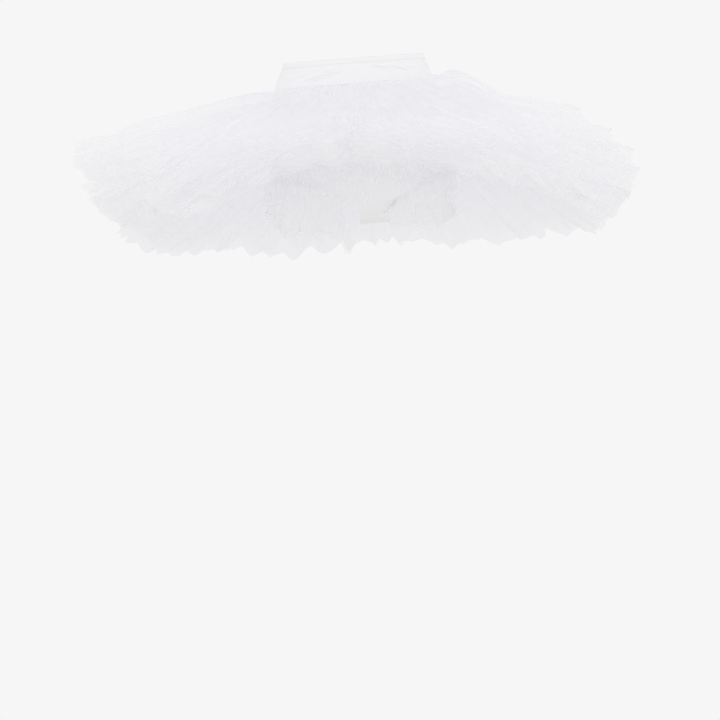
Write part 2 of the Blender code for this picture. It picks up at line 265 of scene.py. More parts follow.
def form_radius(azimuth, depth, out):
    """How far the form is from the upright axis, along true bearings."""
    c, s = np.cos(np.radians(azimuth)), np.sin(np.radians(azimuth))
    wide = along(FORM, depth, 1) + out
    deep = np.where(s < 0, along(FORM, depth, 2), along(FORM, depth, 3)) + out
    side = along(FORM, depth, 4)
    low, high = np.zeros_like(c), np.full_like(c, 0.3)
    for _ in range(36):
        middle = 0.5 * (low + high)
        inside = (
            np.abs((middle * c - side) / wide) ** FORM_POWER
            + np.abs(middle * s / deep) ** FORM_POWER
            < 1.0
        )
        low, high = np.where(inside, middle, low), np.where(inside, high, middle)
    return low


# ---------------------------------------------------------------- folds
def gathers(count, rows, seed, wander, closed=True):
    """Ridge and trough lines of uneven folds. Gives, for some rows down the cloth, where each
    line is along it, as a share, and how high it stands, from -1 to 1 or a little more."""
    rng = np.random.default_rng(seed)
    lines = 2 * count
    widths = rng.uniform(0.55, 1.50, lines)
    at = np.concatenate([[0.0], np.cumsum(widths)])[:-1] / widths.sum()
    side = np.where(np.arange(lines) % 2 == 0, 1.0, -1.0)
    size = rng.uniform(0.45, 1.30, lines)
    walk, swell = rng.uniform(-0.1, 0.1, lines), np.zeros(lines)
    places, heights = [], []
    for _ in range(rows):
        places.append(at + np.clip(walk, -0.26, 0.26) / lines)
        heights.append(side * np.clip(size + swell, 0.15, 1.6))
        walk = walk + rng.normal(0.0, wander, lines)
        swell = 0.7 * swell + rng.normal(0.0, 0.22, lines)
    return places, heights


def fold_field(share, downs, lines, sharp):
    """Height of the folds at shares of the length and of the depth, for each down and share."""
    places, heights = lines
    last = len(places) - 1
    out = np.empty((len(downs), len(share)))
    sharp = np.broadcast_to(sharp, (len(downs),))
    for row, down in enumerate(downs):
        where = min(max(down, 0.0), 1.0) * last
        j = min(int(where), last - 1)
        t = 0.5 * (where - j) + 0.5 * float(ease(where - j))
        place = places[j] * (1 - t) + places[j + 1] * t
        high = heights[j] * (1 - t) + heights[j + 1] * t
        place = np.concatenate([[place[-1] - 1.0], place, [place[0] + 1.0]])
        high = np.concatenate([[high[-1]], high, [high[0]]])
        k = np.clip(np.searchsorted(place, share, side="right") - 1, 0, len(place) - 2)
        t = (share - place[k]) / (place[k + 1] - place[k])
        t = sharp[row] * t + (1 - sharp[row]) * ease(t)
        out[row] = high[k] + (high[k + 1] - high[k]) * t
    return out


def crumple(share, downs, across, rows, seed, sharp, slant=0.0):
    """Uneven creasing: values from -1 to 1 on a loose lattice, with flat facets if sharp is 1."""
    rng = np.random.default_rng(seed)
    grid = rng.uniform(-1.0, 1.0, (rows + 1, across))
    u, v = np.meshgrid(share * across, np.clip(downs, 0, 1) * rows)
    u = u + slant * v + 0.35 * np.sin(2.3 * v + seed)
    i, j = np.floor(u).astype(int), np.clip(np.floor(v).astype(int), 0, rows - 1)
    s, t = u - i, v - j
    s, t = sharp * s + (1 - sharp) * ease(s), sharp * t + (1 - sharp) * ease(t)
    a, b = grid[j, i % across], grid[j, (i + 1) % across]
    c, d = grid[j + 1, i % across], grid[j + 1, (i + 1) % across]
    return (a * (1 - s) + b * s) * (1 - t) + (c * (1 - s) + d * s) * t


# ---------------------------------------------------------------- meshes
def grid_piece(name, x, y, z, ring, u, v, cover=None, plan=None):
    """A cloth sheet from rows by columns of points. ring closes it round. u and v are the place
    on the flat cloth in metres, by column and by row or for each point. cover is how much of the
    light each point of a net stops. plan is a second map for each point."""
    rows, columns = x.shape
    mesh = bpy.data.meshes.new(name)
    points = np.stack([x, y, z], axis=2).reshape(-1, 3)
    across = columns if ring else columns - 1
    r, c = np.meshgrid(np.arange(rows - 1), np.arange(across), indexing="ij")
    after = (c + 1) % columns
    corners = np.stack(
        [r * columns + c, r * columns + after, (r + 1) * columns + after, (r + 1) * columns + c],
        axis=2,
    ).reshape(-1, 4)
    mesh.vertices.add(len(points))
    mesh.vertices.foreach_set("co", points.ravel())
    mesh.loops.add(corners.size)
    mesh.loops.foreach_set("vertex_index", corners.ravel().astype(np.int32))
    mesh.polygons.add(len(corners))
    mesh.polygons.foreach_set("loop_start", np.arange(0, corners.size, 4, dtype=np.int32))
    mesh.update(calc_edges=True)
    mesh.validate()
    u, v = np.broadcast_to(u, (rows, columns)), np.broadcast_to(v, (rows, columns))
    width = float(u.max() + (u[0, 1] - u[0, 0])) if ring else 0.0
    flat_u, flat_v = u.reshape(-1)[corners], v.reshape(-1)[corners]
    if ring:  # the last column meets the first one a whole strip further on
        wraps = (after.reshape(-1) == 0)[:, None] & np.array([False, True, True, False])
        flat_u = np.where(wraps, width, flat_u)
    cloth = mesh.uv_layers.new(name="cloth")
    cloth.uv.foreach_set("vector", np.stack([flat_u, flat_v], axis=2).ravel().astype(np.float32))
    if plan is not None:
        layer = mesh.uv_layers.new(name="OFBake")
        layer.uv.foreach_set("vector", plan.reshape(-1, 2)[corners].ravel().astype(np.float32))
    if cover is not None:
        stops = mesh.attributes.new("cover", "FLOAT", "POINT")
        stops.data.foreach_set("value", np.broadcast_to(cover, (rows, columns)).ravel().astype(np.float32))
    mesh.shade_smooth()
    piece = bpy.data.objects.new(name, mesh)
    bpy.context.scene.collection.objects.link(piece)
    return piece


def plan_map(x, y):
    """A top view of the sheet, filled into a unit square."""
    size = 1.04 * max(np.ptp(x), np.ptp(y))
    return np.stack([(x - x.mean()) / size + 0.5, (y - y.mean()) / size + 0.5], axis=2)


def strip_map(rows, columns, bands):
    """Rows by columns of a long strip, cut into bands that are laid one above another."""
    u = np.linspace(0.0, 1.0, columns)[None, :].repeat(rows, 0)
    v = np.linspace(0.0, 1.0, rows)[:, None].repeat(columns, 1)
    return np.stack([0.01 + 0.98 * u, 0.01 + 0.98 * v / bands], axis=2)


# ---------------------------------------------------------------- long tiers
def rim_place(azimuth, stack):
    """Radius and height of a tier's rim, from the top of the stack of rims, 0, to its foot, 1."""
    top, middle, low = (around(RIM, azimuth, c) for c in (1, 3, 4))
    radius = top * (1 - stack) * (1 - 2 * stack) + middle * 4 * stack * (1 - stack) + low * stack * (2 * stack - 1)
    high, foot = around(RIM, azimuth, 2), around(RIM, azimuth, 5)
    return radius, high + (foot - high) * stack


def tier_shape(seam_depth, stack, folds, fold_height, ragged, seed, tier):
    """Bearings of the columns, and radius and height of each point, before the tiers settle."""
    share = np.arange(COLUMNS) / COLUMNS
    azimuth = 360.0 * share
    s = np.linspace(0.0, 1.0, ROWS)
    rng = np.random.default_rng(seed)

    inner = form_radius(azimuth, seam_depth, WALL * 0.5 + 0.0006)
    inner_z = tilt(inner * np.cos(np.radians(azimuth)), -seam_depth)
    rim, rim_z = rim_place(azimuth, stack)
    next_rim, next_z = rim_place(azimuth, TIERS[tier][2] if tier < len(TIERS) else stack)
    # How far the rims spread apart here: 0 where they lie together and 1 where they hang apart.
    apart = np.clip((rim_z - next_z - 0.012) / 0.010, 0.0, 1.0)
    to_next = next_rim - rim

    # The cut edge is uneven: each fold ends a little further out or in.
    lines = gathers(folds, 6, seed, 0.16)
    edge = fold_field(share, np.array([1.0]), gathers(int(folds * 1.6), 2, seed + 5, 0.05), 0.9)[0]
    slow = crumple(share, np.array([0.5]), 17, 2, seed + 6, 0.2)[0]
    uneven = share + 0.011 * crumple(share, np.array([0.5]), 29, 2, seed + 10, 0.3)[0]
    jags = crumple(uneven, np.array([0.5]), int(folds * 1.4), 2, seed + 8, 1.0)[0]
    ragged = ragged * (0.40 * edge + 0.70 * jags + 0.65 * slow) - 0.0070
    T = np.linspace(0.0, 1.0, ROWS)[:, None] * (1 + ragged / (rim - inner))

    # The tiers nest: part of every fold runs through all of them, and part is a tier's own.
    sharp = 0.05 + 0.25 * ease((s - 0.45) / 0.55)
    shared = fold_field(share, s, gathers(45, 6, 777, 0.16), sharp)
    own = fold_field(share, s, lines, sharp)
    main = 0.65 * shared + 0.60 * own
    middle = fold_field(share, s, gathers(int(folds * 2.6), 5, seed + 1, 0.12), 0.2)
    fine = fold_field(share, s, gathers(int(folds * 4.6), 6, seed + 2, 0.10), 0.3)
    S = s[:, None]
    wave = (0.0042 * shared + 0.55 * fold_height * own) * (0.05 + 0.95 * S) ** 1.05 * ease(S / 0.30)
    wave = wave + 0.0009 * middle * ease(S / 0.14) * (1 - 0.95 * ease((S - 0.15) / 0.35))
    wave = wave + 0.0005 * fine * (0.25 + 0.75 * ease(S / 0.05)) * (1 - ease((S - 0.08) / 0.30))
    wave = wave + 0.0010 * ease(S / 0.4) * crumple(share, s, 64, 8, seed + 3, 0.0, 1.3)
    wave = wave + 0.0019 * ease(S / 0.4) * crumple(share, s, 41, 6, 790, 0.0, -1.7)
    wave = wave + 0.0055 * ease(S / 0.5) * crumple(share, s, 27, 4, 781, 0.0, -0.5)
    wave = wave + 0.0022 * ease(S / 0.5) * crumple(share, s, 25, 4, seed + 4, 0.0, -0.5)

    radius = inner + (rim - inner) * T + 0.5 * wave * S
    droop = T - 0.17 * np.sin(np.pi * T) * (1 - T)
    hump = around(HUMP, azimuth, 1) * (1 - 0.9 * stack)
    height = inner_z + (rim_z - inner_z) * droop + wave
    height = height + hump * ease(S / 0.10) * (1 - ease((S - 0.16) / 0.30))
    # Where the rims hang apart, the troughs of each tier's folds reach down to the next tier.
    deep = np.clip(0.42 * (1.0 - main), 0.0, 0.82) * ease((S - 0.50) / 0.50) * apart
    height = height + (next_z - rim_z) * deep
    radius = radius + to_next * deep
    # Where they lie together, each is lifted by the folds below it, so it starts a little lower.
    height = height - SETTLE * (len(TIERS) - tier) * ease(S / 0.35) * (1 - apart)

    doubled = np.zeros_like(height)  # where a crease lays the net on itself
    for on, from_az, from_out, to_az, to_out, half, high in CREASES:
        if on not in (0, tier):
            continue
        # Distance to the crease in the plan, in metres, with the ends faded.
        ax, ay = radius_place(inner, rim, from_az, from_out)
        bx, by = radius_place(inner, rim, to_az, to_out)
        px, py = radius * np.cos(np.radians(azimuth)), radius * np.sin(np.radians(azimuth))
        length = math.hypot(bx - ax, by - ay)
        dx, dy = (bx - ax) / length, (by - ay) / length
        run = ((px - ax) * dx + (py - ay) * dy) / length
        off = (px - ax) * dy - (py - ay) * dx
        fade = ease((run + 0.10) / 0.35) * (1 - ease((run - 0.80) / 0.30))
        height = height + high * np.exp(-np.abs(off / half) ** 1.5) * fade
        doubled = np.maximum(doubled, fade * np.exp(-((off / (0.6 * half)) ** 2)) * min(abs(high) / 0.008, 1.4))
    return azimuth, radius, height, doubled


def radius_place(inner, rim, azimuth, out):
    k = int(round(azimuth / 360.0 * COLUMNS)) % COLUMNS
    r = inner[k] + (rim[k] - inner[k]) * out
    return r * math.cos(math.radians(azimuth)), r * math.sin(math.radians(azimuth))


def rest_on(radius, height, low_radius, low_height, gap):
    """Lifts a tier so that it lies on the one below it wherever they would meet."""
    under = np.empty_like(height)
    for k in range(radius.shape[1]):
        under[:, k] = np.interp(radius[:, k], low_radius[:, k], low_height[:, k])
        past = radius[:, k] - low_radius[-1, k]
        under[:, k] -= np.clip(past, 0.0, None) * 0.9
    # On steep cloth the gap is measured across the cloth.
    down = np.gradient(under, axis=0) / np.maximum(np.gradient(radius, axis=0), 0.002)
    aside = (np.roll(under, -1, 1) - np.roll(under, 1, 1)) * COLUMNS / (4 * np.pi * radius)
    under = under + gap * np.minimum(np.sqrt(1 + down**2 + aside**2), 2.0)
    lift = 0.5 * (height + under + np.sqrt((height - under) ** 2 + 0.0010**2))
    return np.where(np.arange(radius.shape[0])[:, None] == 0, height, lift)


def build_tiers():
    made = []
    below = None
    for number in range(len(TIERS), 0, -1):
        name, seam, stack, folds, fold_height, ragged, seed = TIERS[number - 1]
        azimuth, radius, height, doubled = tier_shape(seam, stack, folds, fold_height, ragged, seed, number)
        if below is not None:
            gap = PLY_GAP * ease(np.linspace(0, 1, ROWS) / 0.08)[:, None]
            height = rest_on(radius, height, *below, gap)
        below = (radius, height)

        # Folds lean sideways and back, the same way for every tier, so none passes through another.
        share, s = azimuth / 360.0, np.linspace(0.0, 1.0, ROWS)
        lean = 0.012 * crumple(share, s, 26, 4, 901, 0.2) + 0.0055 * crumple(share, s, 70, 5, 902, 0.3)
        bearing = np.radians(azimuth) + lean * s[:, None] ** 1.3 / radius
        x, y = radius * np.cos(bearing), radius * np.sin(bearing)

        step = np.sqrt(np.diff(radius, axis=0) ** 2 + np.diff(height, axis=0) ** 2).mean(axis=1)
        v = np.concatenate([[0.0], np.cumsum(step)])[:, None]
        u = (share * RIM_CUT)[None, :]
        # Gathered net stops more light near its seam, and its cut edge catches a little more.
        bunched = 0.35 * np.exp(-v / 0.030) + 0.08 * np.exp(-v / 0.16)
        cover = 0.36 + 0.36 * stack + bunched + 0.10 * crumple(share, s, 40, 5, seed + 9, 0.0)
        # Where the rims lie close together each cut edge is lost in the ones beside it.
        if stack < 0.7:
            lost = 0.36 + 0.40 * np.abs(np.sin(np.radians(azimuth))) ** 1.5
        else:  # the lowest rims end free at the sides and front, and over the seat ruffle at the back
            lost = -0.08 + 0.78 * np.clip(-np.sin(np.radians(azimuth)), 0.0, 1.0) ** 3
        cover = cover * (1 - lost * ease(1 - (v[-1] - v) / 0.110)) + 0.28 * doubled
        piece = grid_piece(name + "_net", x, y, height, True, u, v, np.clip(cover, 0.05, 0.97), plan_map(x, y))
        made.append((piece, name))
    return made[::-1]


# ---------------------------------------------------------------- seat ruffle
def build_seat_ruffle():
    columns, rows = 1500, 22
    share, v = np.arange(columns) / columns, np.linspace(0.0, 1.0, rows)
    azimuth = 360.0 * share
    V = v[:, None]
    hem = around(SEAT_HEM, azimuth, 1) + 0.0045 * fold_field(share, np.array([1.0]), gathers(60, 2, 301, 0.1), 0.8)[0]
    flare = around(SEAT_HEM, azimuth, 2)
    wave = 0.0034 * fold_field(share, v, gathers(78, 5, 303, 0.16), 0.6)
    wave = wave + 0.0009 * fold_field(share, v, gathers(150, 5, 305, 0.16), 0.5) * (1 - 0.5 * V)
    wave = wave + 0.0030 * crumple(share, v, 60, 4, 307, 0.6, 0.5) * V
    out = WALL * 0.5 + 0.0012 + (flare + wave) * V**0.8 + 0.0005 * fold_field(share, v, gathers(150, 3, 309, 0.1), 0.5)
    x0, _ = form_point(azimuth, np.full(columns, SEAT_SEAM), 0.0)
    top = tilt(x0, -SEAT_SEAM)
    height = top + (hem - top) * V
    depth = np.minimum(-(height - HIP_TILT * x0), 0.170)
    x, y = form_point(np.broadcast_to(azimuth, depth.shape), depth, np.maximum(out, 0.0012))
    length = 1.30
    flat_v = V * 0.085
    cover = 0.32 + 0.35 * np.exp(-flat_v / 0.012) + 0.10 * crumple(share, v, 70, 3, 311, 0.0)
    return grid_piece(
        "seat_ruffle_net", x, y, height, True, (share * length)[None, :], flat_v,
        np.clip(cover, 0.05, 0.97), strip_map(rows, columns, 1),
    )


# ---------------------------------------------------------------- leg ruffles
def leg_line(x):
    """Height of the leg opening's edge at a sideways place, before the tilt."""
    return along(LEG_LINE, np.abs(x - CROTCH_X), 1)


def leg_edge(side, share):
    swing = LEG_SWING[0 if side > 0 else 1] * (1.0 - 2.0 * share)
    azimuth = swing if side > 0 else 180.0 - swing
    above, below = np.full_like(azimuth, 0.15), np.full_like(azimuth, 0.27)
    for _ in range(30):
        depth = 0.5 * (above + below)
        x, _ = form_point(azimuth, depth, 0.0)
        lower = -leg_line(x) > depth
        above, below = np.where(lower, depth, above), np.where(lower, below, depth)
    return azimuth, depth


def build_leg_ruffle(name, side, seed):
    columns, rows = 460, 30
    u, v = np.linspace(0.0, 1.0, columns), np.linspace(0.0, 1.0, rows)
    V = v[:, None]
    azimuth, depth = leg_edge(side, 0.02 + 0.96 * u)
    lines = gathers(11, 5, seed, 0.14)
    main = fold_field(u, v, lines, 0.95)
    hem = along(LEG_HEM, u, 2 if side > 0 else 1) + 0.0045 * main[-1]
    hem = hem + 0.0030 * crumple(u, np.array([0.5]), 17, 2, seed + 4, 1.0)[0]
    flare = along(LEG_HEM, u, 3)
    seam = depth - 0.008
    wave = 0.0100 * main + 0.0007 * fold_field(u, v, gathers(44, 5, seed + 1, 0.1), 0.5) * (1 - V)
    wave = wave + 0.0020 * crumple(u, v, 18, 5, seed + 2, 1.0, 0.4) * V
    out = WALL * 0.5 + 0.0008 + (flare + wave) * V**1.4
    out = out + 0.0005 * fold_field(u, v, gathers(70, 5, seed + 6, 0.1), 0.5) * (1 - ease(V / 0.6))
    out = np.maximum(out, WALL * 0.5 + 0.0004)
    azimuth = azimuth + np.degrees(0.0070 * crumple(u, v, 13, 3, seed + 3, 0.6) * V / 0.14)
    x, y = form_point(azimuth, np.broadcast_to(np.minimum(seam, 0.236), out.shape), out)
    # The loose inner ends swing in under the crotch.
    reach = 0.030 if side > 0 else 0.009
    x = x - side * reach * V * np.exp(-((np.minimum(u, 1 - u) / 0.085) ** 2))
    top = tilt(x[0], -seam)
    height = top + (hem - top) * V
    flat_v = V * 0.085
    cover = 0.30 + 0.55 * np.exp(-flat_v / 0.006) + 0.0 * u
    # Sharp folds double the net along their crests.
    places = np.mod(lines[0][-1], 1.0)[::2]
    crest = np.exp(-((np.abs(u[:, None] - places[None, :]).min(axis=1) / 0.0040) ** 2))
    cover = cover + 0.42 * crest * V
    cover = cover + 0.36 * np.clip(1 - (flat_v[-1] - flat_v) / 0.0028, 0, 1)
    return grid_piece(
        name + "_net", x, y, height, False, (u * 0.42)[None, :], flat_v,
        np.clip(cover, 0.05, 0.95), strip_map(rows, columns, 1),
    )


# ---------------------------------------------------------------- yoke and brief
def build_yoke(name, first, last):
    """Half the yoke, with its turned top edge and its tension wrinkles."""
    columns, rows = 300, 34
    side = -1 if first >= 180 else 1
    u, v = np.linspace(0.0, 1.0, columns), np.linspace(0.0, 1.0, rows)
    edge = 0.07
    azimuth = (first + edge) + (last - first - 2 * edge) * u
    azimuth = np.broadcast_to(azimuth, (rows, columns))
    depth = (YOKE_DEPTH * (1.0 - v))[:, None] + 0.0 * azimuth
    flat_x, _ = form_point(azimuth, depth, 0.0)
    out = np.zeros_like(depth)
    out += 0.00045 * (1 - ease((depth - 0.0086) / 0.0012))  # the turned edge is two layers
    out -= 0.00035 * np.exp(-(((depth - 0.0096) / 0.0007) ** 2))
    out -= 0.0010 * (1 - ease(depth / 0.0012)) ** 2
    out -= 0.0008 * (1 - ease((YOKE_DEPTH - depth) / 0.0015)) ** 2
    ends = np.minimum(u, 1 - u) * 0.36
    out -= 0.0007 * (1 - ease(ends / 0.0016)) ** 2
    for on, x0, d0, x1, d1, half, high in WRINKLES:
        if on != side:
            continue
        length = math.hypot(x1 - x0, d1 - d0)
        dx, dy = (x1 - x0) / length, (d1 - d0) / length
        run = ((flat_x - x0) * dx + (depth - d0) * dy) / length
        bow = 0.0016 * np.sin(np.pi * np.clip(run, 0, 1))
        off = (depth - d0) * dx - (flat_x - x0) * dy + bow
        fade = ease((run + 0.05) / 0.40) * (1 - ease((run - 0.62) / 0.42))
        ridge = np.exp(-((off / half) ** 2)) - 0.75 * np.exp(-(((off - 1.5 * half) / half) ** 2))
        out += 1.4 * high * ridge * fade
    out += 0.0005 * crumple(u, v, 9, 3, 71 + side, 0.0) * ease(depth / 0.012)
    x, y = form_point(azimuth, depth, out)
    z = tilt(x, -depth) - WAIST_DIP * np.maximum(-np.sin(np.radians(azimuth)), 0) * v[:, None]
    flat_u = np.concatenate([[0.0], np.cumsum(np.hypot(np.diff(x[0]), np.diff(y[0])))])
    piece = grid_piece(name + "_knit", x, y, z, False, flat_u[None, :], (v * YOKE_DEPTH)[:, None], None, strip_map(rows, columns, 2))
    thicken(piece, 0.0011)
    return piece


def thicken(piece, thickness):
    wall = piece.modifiers.new("cloth", "SOLIDIFY")
    wall.thickness = thickness
    wall.offset = -1.0 if faces_out(piece) else 1.0
    wall.use_even_offset = True
    wall.use_quality_normals = True


def faces_out(piece):
    """True if most of the sheet's faces point away from the upright axis."""
    mesh = piece.data
    count = len(mesh.polygons)
    normals, centres = np.empty(count * 3), np.empty(count * 3)
    mesh.polygons.foreach_get("normal", normals)
    mesh.polygons.foreach_get("center", centres)
    normals, centres = normals.reshape(-1, 3), centres.reshape(-1, 3)
    middle = centres - np.array([0.0, 0.0, -0.12])
    return float((normals * middle).sum()) > 0


def build_brief(name, side):
    """One panel of the brief: the form below the yoke, cut along the leg lines, hems turned."""
    columns, rows = 190, 84
    span = np.linspace(0.0, 1.0, columns)
    azimuth = (180.0 + 180.0 * span) if side < 0 else 180.0 * span
    start = YOKE_DEPTH + 0.0012
    downs = 1 - (1 - np.linspace(0.0, 1.0, rows)) ** 1.25
    depth = (start + (BRIEF_DEPTH - start) * downs)[:, None] + 0.0 * azimuth
    azimuth = np.broadcast_to(azimuth, depth.shape)
    centre = float(along(FORM, 0.25, 4))
    out = 0.0004 * crumple(span, downs, 14, 9, 401 + side, 0.0)
    x, y = form_point(azimuth, depth, out)
    # Below the last section the panel runs in along the crotch to the seam between the legs.
    inward = np.linspace(1.0, 0.0, 12)[1:]
    x = np.vstack([x, centre + (x[-1] - centre) * inward[:, None]])
    y = np.vstack([y, y[-1] * inward[:, None] + side * 0.00015])
    deep = np.concatenate([depth[:, 0], np.full(len(inward), BRIEF_DEPTH) + 0.0010 * (1 - inward**2)])
    z = tilt(x, -deep[:, None])
    flat_v = np.concatenate([depth[:, 0], BRIEF_DEPTH + 0.03 * (1 - inward)])
    flat_u = np.concatenate([[0.0], np.cumsum(np.hypot(np.diff(x[30]), np.diff(y[30])))])
    piece = grid_piece(name + "_knit", x, y, z, False, flat_u[None, :], flat_v[:, None], None,
                       strip_map(x.shape[0], columns, 1))
    mesh = piece.data
    bm = bmesh.new()
    bm.from_mesh(mesh)
    bmesh.ops.remove_doubles(bm, verts=bm.verts, dist=1e-7)
    # Each stretch of the leg line is a plane that climbs away from the crotch and leans with the hips.
    for leg in (1, -1):
        for low, high in zip(LEG_LINE, LEG_LINE[1:]):
            slope = (high[1] - low[1]) / (high[0] - low[0])
            from_x, to_x = CROTCH_X + leg * low[0], CROTCH_X + leg * high[0]
            everything = bm.verts[:] + bm.edges[:] + bm.faces[:]
            bmesh.ops.bisect_plane(bm, geom=everything, plane_co=(from_x, 0, 0), plane_no=(1, 0, 0), dist=1e-7)
            least, most = min(from_x, to_x) - 1e-6, max(from_x, to_x) + 1e-6
            faces = [f for f in bm.faces if least <= f.calc_center_median().x <= most]
            edges = list({e for f in faces for e in f.edges})
            verts = list({v for f in faces for v in f.verts})
            bmesh.ops.bisect_plane(
                bm, geom=verts + edges + faces, plane_co=(from_x, 0, tilt(from_x, low[1])),
                plane_no=(-(HIP_TILT + leg * slope), 0, 1.0), dist=1e-7,
            )
    cut = []
    for face in bm.faces:
        c = face.calc_center_median()
        if abs(c.x - CROTCH_X) > LEG_LINE[0][0] and c.z < tilt(c.x, float(leg_line(c.x))):
            cut.append(face)
    bmesh.ops.delete(bm, geom=cut, context="FACES")
    # The leg hem is turned: a band two layers thick along the line.
    bm.normal_update()
    sign = 1.0 if sum(f.normal.dot(f.calc_center_median() - piece_middle(centre)) for f in bm.faces) > 0 else -1.0
    line = [(CROTCH_X + leg * row[0], row[1]) for leg in (1, -1) for row in LEG_LINE]
    stretches = [(line[i], line[i + 1]) for i in range(len(line) - 1) if i != len(LEG_LINE) - 1]
    stretches += [((CROTCH_X + leg * LEG_LINE[0][0], -0.30), (CROTCH_X + leg * LEG_LINE[0][0], LEG_LINE[0][1])) for leg in (1, -1)]
    for vert in bm.verts:
        flat = vert.co.x, vert.co.z - HIP_TILT * vert.co.x
        near = min(from_stretch(flat, a, b) for a, b in stretches)
        band = 1.0 - float(ease((near - 0.0068) / 0.0012))
        groove = math.exp(-(((near - 0.0080) / 0.0008) ** 2))
        vert.co += vert.normal * sign * (0.00040 * band - 0.00025 * groove)
    bm.to_mesh(mesh)
    bm.free()
    mesh.shade_smooth()
    thicken(piece, 0.0010)
    return piece


def from_stretch(point, a, b):
    """Distance from a point to the straight stretch between a and b."""
    dx, dz = b[0] - a[0], b[1] - a[1]
    t = ((point[0] - a[0]) * dx + (point[1] - a[1]) * dz) / (dx * dx + dz * dz)
    t = min(max(t, 0.0), 1.0)
    return math.hypot(point[0] - a[0] - t * dx, point[1] - a[1] - t * dz)


def piece_middle(centre):
    return Vector((centre, 0.0, -0.16))


# ---------------------------------------------------------------- materials
def tree_of(name):
    material = bpy.data.materials.new(name)
    material.use_nodes = True
    tree = material.node_tree
    tree.nodes.clear()
    return material, tree


def add(tree, kind, inputs=None, **settings):
    node = tree.nodes.new(kind)
    for key, value in settings.items():
        setattr(node, key, value)
    for key, value in (inputs or {}).items():
        if hasattr(value, "is_output"):
            tree.links.new(value, node.inputs[key])
        else:
            node.inputs[key].default_value = value
    return node


def maths(tree, operation, *values):
    node = tree.nodes.new("ShaderNodeMath")
    node.operation = operation
    for i, value in enumerate(values):
        if hasattr(value, "is_output"):
            tree.links.new(value, node.inputs[i])
        else:
            node.inputs[i].default_value = value
    return node.outputs[0]


def hex_threads(tree, cell):
    """1 on the threads of a hexagonal net and 0 in its holes, soft between, on the cloth's map."""
    place = add(tree, "ShaderNodeUVMap", uv_map="cloth").outputs["UV"]
    total = None
    for degrees in (0.0, 60.0, 120.0):
        k = 2 * math.pi / (cell * math.cos(math.radians(30)))
        way = (k * math.cos(math.radians(degrees)), k * math.sin(math.radians(degrees)), 0.0)
        dot = add(tree, "ShaderNodeVectorMath", {0: place, 1: way}, operation="DOT_PRODUCT").outputs["Value"]
        wave = maths(tree, "COSINE", dot)
        total = wave if total is None else maths(tree, "ADD", total, wave)
    return add(
        tree, "ShaderNodeMapRange", {"Value": total, "From Min": 1.4, "From Max": -1.1, "To Min": 0.0, "To Max": 1.0},
        interpolation_type="SMOOTHSTEP",
    ).outputs["Result"], place


def net_material(name, colour, cell, contrast, through):
    """Fine stiff net: threads stop the light, holes let it by, and the cloth glows through."""
    material, tree = tree_of(name)
    threads, place = hex_threads(tree, cell)
    cover = add(tree, "ShaderNodeAttribute", attribute_name="cover").outputs["Fac"]
    swing = maths(tree, "MULTIPLY", maths(tree, "SUBTRACT", threads, 0.55), contrast)
    stops = maths(tree, "ADD", cover, swing)
    stops = add(tree, "ShaderNodeClamp", {"Value": stops, "Min": 0.03, "Max": 0.97}).outputs[0]

    thread_colour = add(
        tree, "ShaderNodeMix",
        {"Factor": maths(tree, "MULTIPLY", threads, 0.5), "A": (*[c * 0.990 for c in colour], 1), "B": (*colour, 1)},
        data_type="RGBA",
    ).outputs["Result"]
    rough = add(tree, "ShaderNodeMapRange", {"Value": threads, "To Min": 0.78, "To Max": 0.62}).outputs["Result"]
    front = add(tree, "ShaderNodeBsdfPrincipled", {"Base Color": thread_colour, "Roughness": rough,
                                                   "Specular IOR Level": 0.20})
    back = add(tree, "ShaderNodeBsdfTranslucent", {"Color": thread_colour})
    cloth = add(tree, "ShaderNodeMixShader", {0: through, 1: front.outputs[0], 2: back.outputs[0]})
    clear = add(tree, "ShaderNodeBsdfTransparent", {"Color": (1, 1, 1, 1)})
    net = add(tree, "ShaderNodeMixShader", {0: stops, 1: clear.outputs[0], 2: cloth.outputs[0]})
    out = add(tree, "ShaderNodeOutputMaterial")
    tree.links.new(net.outputs[0], out.inputs["Surface"])
    return material


